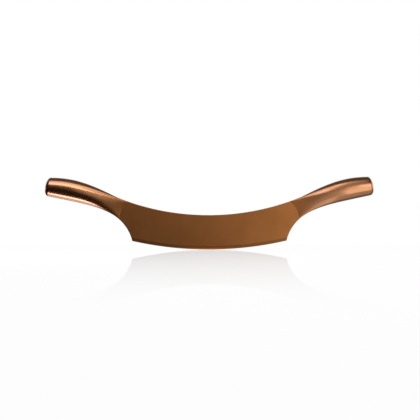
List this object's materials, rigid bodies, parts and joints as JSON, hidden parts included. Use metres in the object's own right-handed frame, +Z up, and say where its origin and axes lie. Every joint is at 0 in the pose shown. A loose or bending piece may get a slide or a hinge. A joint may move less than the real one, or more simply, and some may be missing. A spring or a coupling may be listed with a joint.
{
  "type": "two-handled chocolate chopper",
  "caption": "Two-handled chocolate chopper: a flat blade with a curved rocking edge and a hollow spine between upswept, rounded hollow steel grips, copper coloured all over.",
  "frame": {"origin": "lowest point of the cutting edge, in the blade's middle plane, halfway between the handles", "axes": "+X along the blade towards the right handle, +Y through the blade away from the pictured face, +Z up from the edge to the spine"},
  "size_m": [0.3594, 0.0186, 0.0792],
  "materials": {
    "blade_steel": "satin ground steel with a copper-coloured coating",
    "handle_steel": "polished satin steel with a copper-coloured coating",
    "pin_steel": "plain drawn steel",
    "cast_resin": "dull cast filler"
  },
  "bodies": {
    "root": {"blade": "blade_steel", "right_handle_front_shell": "handle_steel", "right_handle_back_shell": "handle_steel", "right_butt_cap": "handle_steel", "right_handle_fill": "cast_resin", "right_tang_pin_inner": "pin_steel", "right_tang_pin_outer": "pin_steel", "left_handle_front_shell": "handle_steel", "left_handle_back_shell": "handle_steel", "left_butt_cap": "handle_steel", "left_handle_fill": "cast_resin", "left_tang_pin_inner": "pin_steel", "left_tang_pin_outer": "pin_steel"}
  },
  "joints": []
}
